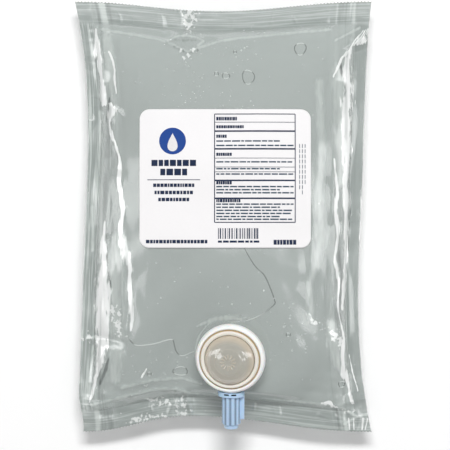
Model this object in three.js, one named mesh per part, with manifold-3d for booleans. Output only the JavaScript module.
// A hand soap refill pack: a clear four-side-sealed film pouch of gel soap with a press pump
// in its front, lying on its back.
// Millimetres, +Z up. X runs across the pack and Y along it, towards the end away from the
// pump. The origin is on the surface that the pack lies on, under the middle of the pack.

import * as THREE from "three";
import { mergeVertices } from "three/addons/utils/BufferGeometryUtils.js";
import Module from "manifold-3d";

const wasm = await Module();
wasm.setup();

// Driving dimensions: the pouch
const pouchWidth = 176; // over the corners, which keep the flat width of the film
const pouchLength = 255.5; // over the corners
const waistPull = 6.4; // how far the filling draws each long side in
const waistPower = 3.5; // how late the sides flare out to the corners
const midlineSway = 1.8; // the slack S that the filled pouch lies in
const topDip = 5.7; // how far the filling draws the top edge in
const topDipAt = -0.05; // where it is deepest, as a share of the half width
const bottomDip = 9.5;
const bottomDipAt = -0.22;
const dipPower = 2.5;
const cornerTuck = 5; // the bottom left corner is bent under
const cornerTuckStart = 0.8; // share of the half length where the bend starts
const sideSealWidth = 8;
const endSealWidth = 12.5;
const filmWall = 0.4;
const sealThickness = 0.5; // two webs welded together
const sealHeight = 17; // height of the weld plane above the table
const frontRise = 28; // crown of the front web above the weld plane
const backDrop = 23; // how far the back web would hang if no table held it up
const sideFullness = 3; // higher is flatter in the middle and steeper at the side welds
const endFullness = 2.6; // the same towards the end welds
const endTaper = 0.7; // lower is blunter at the end welds
const cavityRim = 0.1; // height of the cavity where it closes at the welds

// Driving dimensions: the soap and the label
const soapClearance = 0.3;
const soapRimInset = 1; // how far the soap stays back from the welds
const labelWidth = 100;
const labelLength = 81;
const labelCornerRadius = 5.8;
const labelThickness = 0.2;
const labelClearance = 0.35;
const labelFromTop = 105.5; // middle of the label below the pouch's top corners
const labelOffset = 1.2; // middle of the label right of the pack's middle

// Driving dimensions: the pump's seat on the front web
const pumpFromBottom = 47.75; // pump axis above the pouch's bottom corners
const pumpOffset = 5.9; // pump axis right of the pack's middle
const seatRise = 17; // seat above the weld plane at the pump axis
const pumpPitch = 12; // degrees, the pump faces down towards the bottom edge
const pumpRoll = -8; // degrees, the pump faces a little to the left
const seatFlatRadius = 24; // the film lies flat on the spout's flange within this
const seatBlendRadius = 54; // and is the free pillow again beyond this
const seatEdgeShare = 0.06; // share of the pillow, next to a weld, where it gives way to it

// Driving dimensions: the spout that is welded to the film
const flangeRadius = 21;
const flangeThickness = 1.2;
const neckRadius = 13.6;
const neckWall = 1.6;
const neckHeight = 3.8; // above the film
const fitClearance = 0.3;

// Driving dimensions: the pump housing, in heights above the film
const skirtRadius = 17;
const skirtGap = 0.5;
const seatPlateThickness = 1.4;
const chamberRadius = 13.2;
const chamberDepth = 6.8;
const collarRadius = 20.5;
const collarUnderside = 9.2;
const collarTop = 15.6;
const recessRadius = 17.9; // the recess that takes the dome's flange and the ring
const collarLowerEdge = [[0.6, 1], [0, 2.2]]; // in from the collar's rim, up from its underside
const collarUpperEdge = [[0, 2], [0.5, 0.7], [1.3, 0]]; // in from its rim, down from its top
const recessLip = [[0.6, 0.2], [0, 0.9]]; // out from the recess's wall, down from the top
const inletHoleCount = 8;
const inletHoleRadius = 0.9;
const inletCircleRadius = 3.6;
const stemHoleRadius = 1.6;

// Driving dimensions: the outlet
const outletHeight = 8; // nozzle axis above the film
const nozzleBore = 2.4;
const nozzleRadius = 4.2;
const shoulderRadius = 6;
const shoulderInset = 0.2; // how far the shoulder stays out of the recess
const shoulderEnd = collarRadius; // the cap is pushed on up to here

// Driving dimensions: the rubber valves
const umbrellaRadius = 5.6;
const umbrellaThickness = 0.8;
const umbrellaRibCount = 12;
const umbrellaRibWidth = 0.7;
const umbrellaRibHeight = 0.5;
const bulbRadius = 1.95;
const bulbLength = 1.6;
const beakLength = 5;
const beakWall = 0.7;
const beakTipRadius = 0.9;
const beakHoleRadius = 0.3;

// Driving dimensions: the dome and its ring
const domeRadius = 14.6;
const domeHeight = 9; // crown above the dome's flange
const domeWall = 1;
const domeFlangeThickness = 1.2;
const domeShoulderRadius = 12.1;
const domeStepRadius = 9.9;
const ringHeight = 2.5;
const ringGroove = 0.5; // open groove between the ring and the housing's collar
const ringOuterEdge = [[0, 0.8], [0.5, 0.2], [1.1, 0]]; // in from the ring's outside, down
const ringInnerEdge = [[0.6, 0.3], [0, 1]]; // out from its inside, down from its top

// Driving dimensions: the nozzle cap
const capRadius = 5.55;
const capLength = 22.4;
const capTipRadius = 4.2;
const capTipLength = 2.7;
const capEndWall = 2;
const capEndGap = 0.5; // between the nozzle's end and the end of the cap's socket
const capRibCount = 10;
const capRibDepth = 0.45;
const capFlangeHalfWidth = 7.8;
const capFlangeHalfHeight = 6.3;
const capFlangeThickness = 2.8;
const capSlotWidth = 2.8;
const capSlotSpacing = 4.4;
const capSlotHeight = 1.1;
const capSlotStart = 0.5; // from the flange's face to the slots
const capSlotFloor = 0.2; // from the nozzle's outside to the slots' floor
const capWingReach = 7.7; // from the cap's axis
const capWingThickness = 1.3;
const capWingLength = 14;
const capWingStart = 1; // from the flange's face to the wing
const capStart = shoulderEnd + fitClearance;
const capSocketEnd = capStart + capLength - capTipLength - capEndWall;
const nozzleEnd = capSocketEnd - capEndGap;

const roundSegments = 36;
const smallSegments = 18;

const finish = (color, roughness, opacity = 1) =>
  new THREE.MeshStandardMaterial({ color, roughness, opacity, transparent: opacity < 1 });

const materials = {
  film: finish(0xa0a8a5, 0.12, 0.35),
  soap: finish(0xa4aca9, 0.1, 0.6),
  label: finish(0xf4f4f6, 0.5),
  clear: finish(0xc9d0cc, 0.2, 0.5),
  white: finish(0xeeebe3, 0.3),
  dome: finish(0xb3b0a3, 0.3, 0.7),
  rubber: finish(0xc9c5bb, 0.6),
  blue: finish(0x9fbcd6, 0.35),
};

// Plain geometry helpers

function smoothstep(from, to, value) {
  const share = Math.min(1, Math.max(0, (value - from) / (to - from)));
  return share * share * (3 - 2 * share);
}

// A closed sheet between two grids of points, top[row][column] over bottom[row][column].
function sheetGeometry(top, bottom) {
  const rows = top.length;
  const columns = top[0].length;
  const positions = [...top.flat(), ...bottom.flat()].flatMap((p) => [p.x, p.y, p.z]);
  const topAt = (row, column) => row * columns + column;
  const bottomAt = (row, column) => rows * columns + row * columns + column;
  const index = [];
  const quad = (a, b, c, d) => index.push(a, b, c, a, c, d);
  for (let row = 0; row < rows - 1; row++) {
    for (let column = 0; column < columns - 1; column++) {
      const corners = [
        [row, column],
        [row, column + 1],
        [row + 1, column + 1],
        [row + 1, column],
      ];
      quad(...corners.map(([r, c]) => topAt(r, c)));
      quad(...corners.map(([r, c]) => bottomAt(r, c)).reverse());
    }
  }
  const rim = [];
  for (let column = 0; column < columns - 1; column++) rim.push([0, column]);
  for (let row = 0; row < rows - 1; row++) rim.push([row, columns - 1]);
  for (let column = columns - 1; column > 0; column--) rim.push([rows - 1, column]);
  for (let row = rows - 1; row > 0; row--) rim.push([row, 0]);
  rim.forEach(([r, c], i) => {
    const [nextR, nextC] = rim[(i + 1) % rim.length];
    quad(topAt(r, c), bottomAt(r, c), bottomAt(nextR, nextC), topAt(nextR, nextC));
  });
  const geometry = new THREE.BufferGeometry();
  geometry.setAttribute("position", new THREE.Float32BufferAttribute(positions, 3));
  geometry.setIndex(index);
  return geometry;
}

// A turned piece about Z from [radius, height] pairs, listed upwards along the outside.
function turned(profile, segments) {
  const points = profile.map(([radius, height]) => new THREE.Vector2(radius, height));
  return new THREE.LatheGeometry(points, segments).rotateX(Math.PI / 2);
}

// A cylinder along Z, between two heights.
function rod(radius, low, high, segments) {
  const geometry = new THREE.CylinderGeometry(radius, radius, high - low, segments);
  return geometry.rotateX(Math.PI / 2).translate(0, 0, (low + high) / 2);
}

function box(low, high) {
  const size = high.map((value, i) => value - low[i]);
  const middle = high.map((value, i) => (value + low[i]) / 2);
  return new THREE.BoxGeometry(...size).translate(...middle);
}

// Turns a piece made along +Z to run from the pump axis along the nozzle, at its height.
function alongNozzle(geometry) {
  return geometry.rotateX(Math.PI / 2).translate(0, 0, outletHeight);
}

function solid(geometry) {
  const bare = new THREE.BufferGeometry();
  bare.setAttribute("position", geometry.getAttribute("position"));
  bare.setIndex(geometry.index);
  const merged = mergeVertices(bare, 1e-4);
  return new wasm.Manifold(
    new wasm.Mesh({
      numProp: 3,
      vertProperties: new Float32Array(merged.getAttribute("position").array),
      triVerts: new Uint32Array(merged.index.array),
    }),
  );
}

function geometryOf(manifold) {
  const mesh = manifold.getMesh();
  const geometry = new THREE.BufferGeometry();
  geometry.setAttribute("position", new THREE.Float32BufferAttribute(mesh.vertProperties, 3));
  geometry.setIndex(Array.from(mesh.triVerts));
  return geometry;
}

function cut(base, ...tools) {
  return geometryOf(tools.reduce((result, tool) => result.subtract(solid(tool)), solid(base)));
}

function joined(...pieces) {
  return geometryOf(pieces.map(solid).reduce((result, piece) => result.add(piece)));
}

function named(name, geometry, material) {
  const mesh = new THREE.Mesh(geometry, material);
  mesh.name = name;
  return mesh;
}

// The pump's seat: its place, its tilt, and the plane of the film under it
const pumpTilt = new THREE.Euler(
  THREE.MathUtils.degToRad(pumpPitch),
  THREE.MathUtils.degToRad(pumpRoll),
  0,
);
const pumpPlace = new THREE.Vector3(
  pumpOffset,
  pumpFromBottom - pouchLength / 2,
  sealHeight + seatRise,
);
const seatNormal = new THREE.Vector3(0, 0, 1).applyEuler(pumpTilt);

function seatPlaneHeight(x, y) {
  const across = seatNormal.x * (x - pumpPlace.x) + seatNormal.y * (y - pumpPlace.y);
  return pumpPlace.z - across / seatNormal.z;
}

// The share of the seat plane in the front web's height: 1 on the flange, 0 on the free pillow.
function seatShare(x, y) {
  const distance = Math.hypot(x - pumpPlace.x, y - pumpPlace.y);
  return 1 - smoothstep(seatFlatRadius, seatBlendRadius, distance);
}

// The pouch's outline, from across and along, which run from -1 to 1 over the whole film
function edgeDip(across, deepestAt) {
  const span = across < deepestAt ? 1 + deepestAt : 1 - deepestAt;
  return (1 - ((across - deepestAt) / span) ** 2) ** dipPower;
}

function outlinePoint(across, along) {
  const top = pouchLength / 2 - topDip * edgeDip(across, topDipAt);
  const bottom = -pouchLength / 2 + bottomDip * edgeDip(across, bottomDipAt);
  const y = THREE.MathUtils.lerp(bottom, top, (along + 1) / 2);
  const height = Math.max(-1, Math.min(1, y / (pouchLength / 2)));
  const halfWidth = pouchWidth / 2 - waistPull * (1 - Math.abs(height) ** waistPower);
  const tuck = cornerTuck * smoothstep(cornerTuckStart, 1, -height) * Math.max(0, -across) ** 2;
  const x = midlineSway * Math.sin(Math.PI * height) + across * halfWidth + tuck;
  return { x, y };
}

const innerAcross = 1 - sideSealWidth / (pouchWidth / 2);
const innerAlong = 1 - endSealWidth / (pouchLength / 2);

// Heights of the two webs above and below the weld plane, from the place inside the welds
function frontHeight(across, along, x, y) {
  const u = Math.min(1, Math.abs(across) / innerAcross);
  const v = Math.min(1, Math.abs(along) / innerAlong);
  if (u === 1 || v === 1) return 0;
  const pillow = frontRise * Math.sqrt(1 - u ** sideFullness) * (1 - v ** endFullness) ** endTaper;
  const clearOfWeld = smoothstep(0, seatEdgeShare, 1 - u) * smoothstep(0, seatEdgeShare, 1 - v);
  const share = seatShare(x, y) * clearOfWeld;
  return pillow * (1 - share) + (seatPlaneHeight(x, y) - sealHeight) * share;
}

function backDepth(across, along) {
  const u = Math.min(1, Math.abs(across) / innerAcross);
  const v = Math.min(1, Math.abs(along) / innerAlong);
  const free = backDrop * Math.sqrt(1 - u ** sideFullness) * (1 - v ** endFullness) ** endTaper;
  return Math.min(free, sealHeight - sealThickness / 2);
}

// Grid lines: even in the middle, closer where the webs curve down to the welds
function innerLines(divisions, inner, crowding) {
  return Array.from({ length: divisions + 1 }, (_, i) => {
    const even = (2 * i) / divisions - 1;
    return inner * (crowding * Math.sin((even * Math.PI) / 2) + (1 - crowding) * even);
  });
}

const innerColumns = innerLines(20, innerAcross, 0.8);
const innerRows = innerLines(26, innerAlong, 0.85);

function grid(rows, columns, pointAt) {
  return rows.map((along) => columns.map((across) => pointAt(across, along)));
}

// The outer skin of both webs and their welds, as one closed solid
function pouchOutside() {
  const columns = [-1, ...innerColumns, 1];
  const rows = [-1, ...innerRows, 1];
  const half = sealThickness / 2;
  const front = grid(rows, columns, (across, along) => {
    const { x, y } = outlinePoint(across, along);
    const height = frontHeight(across, along, x, y);
    const onSeat = height > 0 ? seatShare(x, y) : 0;
    return { x, y, z: sealHeight + half * (1 - onSeat) + height };
  });
  const back = grid(rows, columns, (across, along) => {
    const { x, y } = outlinePoint(across, along);
    return { x, y, z: sealHeight - half - backDepth(across, along) };
  });
  return sheetGeometry(front, back);
}

// A solid inside both webs: set in by a depth from the skin, and held back from the welds
function pouchInside(depth, rimInset) {
  const half = sealThickness / 2;
  const isRim = (across, along) =>
    Math.abs(across) >= innerAcross - 1e-9 || Math.abs(along) >= innerAlong - 1e-9;
  const setBack = (across, along) => {
    const { x, y } = outlinePoint(across, along);
    const backX = Math.abs(across) >= innerAcross - 1e-9 ? Math.sign(across) * rimInset : 0;
    const backY = Math.abs(along) >= innerAlong - 1e-9 ? Math.sign(along) * rimInset : 0;
    return { x: x - backX, y: y - backY };
  };
  const front = grid(innerRows, innerColumns, (across, along) => {
    const { x, y } = setBack(across, along);
    if (isRim(across, along)) return { x, y, z: sealHeight + cavityRim / 2 };
    const skin = sealHeight + half * (1 - seatShare(x, y)) + frontHeight(across, along, x, y);
    return { x, y, z: skin - depth };
  });
  const back = grid(innerRows, innerColumns, (across, along) => {
    const { x, y } = setBack(across, along);
    if (isRim(across, along)) return { x, y, z: sealHeight - cavityRim / 2 };
    return { x, y, z: sealHeight - half - backDepth(across, along) + depth };
  });
  return sheetGeometry(front, back);
}

// A piece in the pump's own frame, put where the pump sits in the pack's frame
function atPump(geometry) {
  const turn = new THREE.Matrix4().makeRotationFromEuler(pumpTilt);
  return geometry.applyMatrix4(turn.setPosition(pumpPlace));
}

const flangeTop = -filmWall - fitClearance;
const flangeBottom = flangeTop - flangeThickness;

function filmPouch() {
  const spoutHole = rod(neckRadius + fitClearance, flangeBottom, neckHeight, roundSegments);
  return cut(pouchOutside(), pouchInside(filmWall, 0), atPump(spoutHole));
}

function soapFill() {
  const pocketFloor = flangeBottom - soapClearance;
  const pocket = rod(flangeRadius + fitClearance, pocketFloor, collarTop, roundSegments);
  return cut(pouchInside(filmWall + soapClearance, soapRimInset), atPump(pocket));
}

// The paper label: a grid with round corners, draped over the front web
function labelSheet() {
  const halfWidth = labelWidth / 2;
  const halfLength = labelLength / 2;
  const middleY = pouchLength / 2 - labelFromTop;
  const straight = halfWidth - labelCornerRadius;
  const cornerSteps = [90, 67.5, 45, 22.5, 0].map(
    (angle) => straight + labelCornerRadius * Math.cos(THREE.MathUtils.degToRad(angle)),
  );
  const middleSteps = Array.from({ length: 11 }, (_, i) => straight * (i / 5.5 - 1)).slice(1, -1);
  const columns = [...cornerSteps.map((x) => -x).reverse(), ...middleSteps, ...cornerSteps];
  const halfLengthAt = (x) => {
    const past = Math.max(0, Math.abs(x) - straight);
    const round = Math.sqrt(Math.max(0, labelCornerRadius ** 2 - past ** 2));
    return halfLength - labelCornerRadius + round;
  };
  const rows = Array.from({ length: 15 }, (_, i) => i / 7 - 1);
  const sheet = (lift) =>
    rows.map((share) =>
      columns.map((localX) => {
        const x = labelOffset + localX;
        const y = middleY + share * halfLengthAt(localX);
        return { x, y, z: skinHeight(x, y) + lift };
      }),
    );
  return sheetGeometry(sheet(labelClearance + labelThickness), sheet(labelClearance));
}

// Height of the front skin over a point, by undoing the outline one step at a time
function skinHeight(x, y) {
  let across = x / (pouchWidth / 2);
  let along = y / (pouchLength / 2);
  for (let step = 0; step < 12; step++) {
    const point = outlinePoint(across, along);
    across += (x - point.x) / (pouchWidth / 2);
    along += (y - point.y) / (pouchLength / 2);
  }
  return sealHeight + sealThickness / 2 + frontHeight(across, along, x, y);
}

// The spout: a flange welded under the film, and a neck that stands out through it
function spoutFlange() {
  const bore = neckRadius - neckWall;
  return turned(
    [
      [bore, flangeBottom],
      [flangeRadius, flangeBottom],
      [flangeRadius, flangeTop],
      [neckRadius, flangeTop],
      [neckRadius, neckHeight],
      [bore, neckHeight],
      [bore, flangeBottom],
    ],
    roundSegments,
  );
}

const plateBottom = neckHeight + fitClearance;
const plateTop = plateBottom + seatPlateThickness;
const recessFloor = plateTop + chamberDepth;

// The pump housing: socket over the neck, valve seat plate, chamber, collar and nozzle
function pumpHousing() {
  const socketRadius = neckRadius + fitClearance;
  const body = turned(
    [
      [0, plateBottom],
      [socketRadius, plateBottom],
      [socketRadius, skirtGap],
      [skirtRadius, skirtGap],
      [skirtRadius, collarUnderside],
      ...collarLowerEdge.map(([inward, up]) => [collarRadius - inward, collarUnderside + up]),
      ...collarUpperEdge.map(([inward, down]) => [collarRadius - inward, collarTop - down]),
      ...recessLip.map(([outward, down]) => [recessRadius + outward, collarTop - down]),
      [recessRadius, recessFloor],
      [chamberRadius, recessFloor],
      [chamberRadius, plateTop],
      [0, plateTop],
    ],
    roundSegments,
  );
  const wallMiddle = (chamberRadius + skirtRadius) / 2;
  const shoulderStart = recessRadius + shoulderInset;
  const shoulder = alongNozzle(rod(shoulderRadius, shoulderStart, shoulderEnd, smallSegments));
  const nozzle = alongNozzle(rod(nozzleRadius, wallMiddle, nozzleEnd, smallSegments));
  const bore = alongNozzle(rod(nozzleBore, chamberRadius - 2, nozzleEnd + 1, smallSegments));
  const inlets = Array.from({ length: inletHoleCount }, (_, i) => {
    const angle = (2 * Math.PI * i) / inletHoleCount;
    const hole = rod(inletHoleRadius, plateBottom - 1, plateTop + 1, 12);
    return hole.translate(
      inletCircleRadius * Math.cos(angle),
      inletCircleRadius * Math.sin(angle),
      0,
    );
  });
  const stemHole = rod(stemHoleRadius, plateBottom - 1, plateTop + 1, smallSegments);
  return cut(joined(body, shoulder, nozzle), bore, stemHole, ...inlets);
}

// The inlet valve: a rubber umbrella over the inlet holes, pulled in by a bulb on its stem
function inletValve() {
  const stem = stemHoleRadius - fitClearance;
  const under = plateTop + fitClearance;
  const over = under + umbrellaThickness;
  const bulbTop = plateBottom - fitClearance;
  const umbrella = turned(
    [
      [0, bulbTop - bulbLength],
      [bulbRadius * 0.6, bulbTop - bulbLength],
      [bulbRadius, bulbTop - bulbLength * 0.4],
      [bulbRadius, bulbTop],
      [stem, bulbTop],
      [stem, under],
      [umbrellaRadius, under],
      [umbrellaRadius, under + umbrellaThickness / 2],
      [umbrellaRadius * 0.6, over],
      [0, over],
    ],
    roundSegments,
  );
  const ribs = Array.from({ length: umbrellaRibCount }, (_, i) => {
    const half = umbrellaRibWidth / 2;
    const inner = umbrellaRadius * 0.55;
    const outer = umbrellaRadius * 0.95;
    const top = over + umbrellaRibHeight;
    return box([inner, -half, under + umbrellaThickness / 4], [outer, half, top]).rotateZ(
      (2 * Math.PI * i) / umbrellaRibCount,
    );
  });
  return joined(umbrella, ...ribs);
}

// The outlet valve: a rubber beak inside the nozzle's end
function outletValve() {
  const radius = nozzleBore - fitClearance;
  const bore = radius - beakWall;
  const root = nozzleEnd - beakLength;
  const beak = turned(
    [
      [bore, root],
      [radius, root],
      [radius, root + beakLength * 0.45],
      [beakTipRadius, nozzleEnd],
      [beakHoleRadius, nozzleEnd],
      [bore, root + beakLength * 0.4],
      [bore, root],
    ],
    smallSegments,
  );
  return alongNozzle(beak);
}

const domeFlangeBottom = recessFloor + fitClearance;
const domeFlangeTop = domeFlangeBottom + domeFlangeThickness;

// The dome: a soft diaphragm whose flange is clamped in the housing's recess
function domeDiaphragm() {
  const outside = [
    [domeRadius, 0],
    [domeRadius - 0.35, domeHeight * 0.24],
    [domeRadius - 1.1, domeHeight * 0.46],
    [domeShoulderRadius, domeHeight * 0.66],
    [domeStepRadius + 0.6, domeHeight * 0.78],
    [domeStepRadius, domeHeight * 0.84],
    [domeStepRadius * 0.7, domeHeight * 0.93],
    [domeStepRadius * 0.35, domeHeight * 0.985],
    [0, domeHeight],
  ];
  const flangeEdge = recessRadius - ringGroove - fitClearance;
  const outer = outside.map(([radius, height]) => [radius, domeFlangeTop + height]);
  const inner = outside
    .map(([radius, height]) => {
      const inward = radius > 0 ? domeWall * Math.min(1, radius / domeStepRadius) * 0.7 : 0;
      const drop = domeWall * (0.35 + 0.65 * (height / domeHeight));
      return [radius - inward, domeFlangeTop + height - drop];
    })
    .reverse();
  const mouth = domeRadius - domeWall * 0.7;
  return turned(
    [
      [mouth, domeFlangeBottom],
      [flangeEdge, domeFlangeBottom],
      [flangeEdge, domeFlangeTop],
      ...outer,
      ...inner,
      [mouth, domeFlangeBottom],
    ],
    roundSegments,
  );
}

// The ring that clamps the dome's flange down
function retainingRing() {
  const inner = domeRadius + fitClearance;
  const outer = recessRadius - ringGroove;
  const low = domeFlangeTop + fitClearance;
  const high = low + ringHeight;
  return turned(
    [
      [inner, low],
      [outer, low],
      ...ringOuterEdge.map(([inward, down]) => [outer - inward, high - down]),
      ...ringInnerEdge.map(([outward, down]) => [inner + outward, high - down]),
      [inner, low],
    ],
    roundSegments,
  );
}

// The pull-off cap: ribbed barrel, slotted oval flange, one grip wing and a plain tip
function nozzleCap() {
  const start = capStart;
  const end = start + capLength;
  const ribbed = new THREE.Shape();
  const steps = capRibCount * 6;
  for (let i = 0; i < steps; i++) {
    const angle = (2 * Math.PI * i) / steps;
    const radius = capRadius - (capRibDepth * (1 - Math.cos(capRibCount * angle))) / 2;
    const point = [radius * Math.cos(angle), radius * Math.sin(angle)];
    if (i === 0) ribbed.moveTo(...point);
    else ribbed.lineTo(...point);
  }
  ribbed.closePath();
  const oval = new THREE.Shape().absellipse(
    0,
    0,
    capFlangeHalfWidth,
    capFlangeHalfHeight,
    0,
    2 * Math.PI,
  );
  const barrelLength = capLength - capTipLength;
  const barrel = new THREE.ExtrudeGeometry(ribbed, { depth: barrelLength, bevelEnabled: false });
  const flange = new THREE.ExtrudeGeometry(oval, {
    depth: capFlangeThickness,
    bevelEnabled: false,
    curveSegments: smallSegments,
  });
  barrel.translate(0, 0, start);
  flange.translate(0, 0, start);
  const tip = rod(capTipRadius, end - capTipLength - 1, end, smallSegments);
  const wing = box(
    [0, -capWingThickness / 2, start + capWingStart],
    [capWingReach, capWingThickness / 2, start + capFlangeThickness + capWingLength],
  );
  const socket = rod(nozzleRadius + fitClearance, start - 1, capSocketEnd, smallSegments);
  const slots = [-1, 1].map((side) => {
    const middle = (side * capSlotSpacing) / 2;
    const high = capFlangeHalfHeight + 1;
    return box(
      [middle - capSlotWidth / 2, nozzleRadius + capSlotFloor, start + capSlotStart],
      [middle + capSlotWidth / 2, high, start + capSlotStart + capSlotHeight],
    );
  });
  return alongNozzle(cut(joined(barrel, flange, tip, wing), socket, ...slots));
}

const pack = new THREE.Group();
pack.add(named("film_pouch", filmPouch(), materials.film));
pack.add(named("soap_fill", soapFill(), materials.soap));
pack.add(named("label", labelSheet(), materials.label));

const pump = new THREE.Group();
pump.position.copy(pumpPlace);
pump.rotation.copy(pumpTilt);
pump.add(named("spout_flange", spoutFlange(), materials.clear));
pump.add(named("pump_housing", pumpHousing(), materials.white));
pump.add(named("inlet_valve", inletValve(), materials.rubber));
pump.add(named("outlet_valve", outletValve(), materials.rubber));
pump.add(named("pump_dome", domeDiaphragm(), materials.dome));
pump.add(named("retaining_ring", retainingRing(), materials.white));
pump.add(named("nozzle_cap", nozzleCap(), materials.blue));
pack.add(pump);

export default pack;
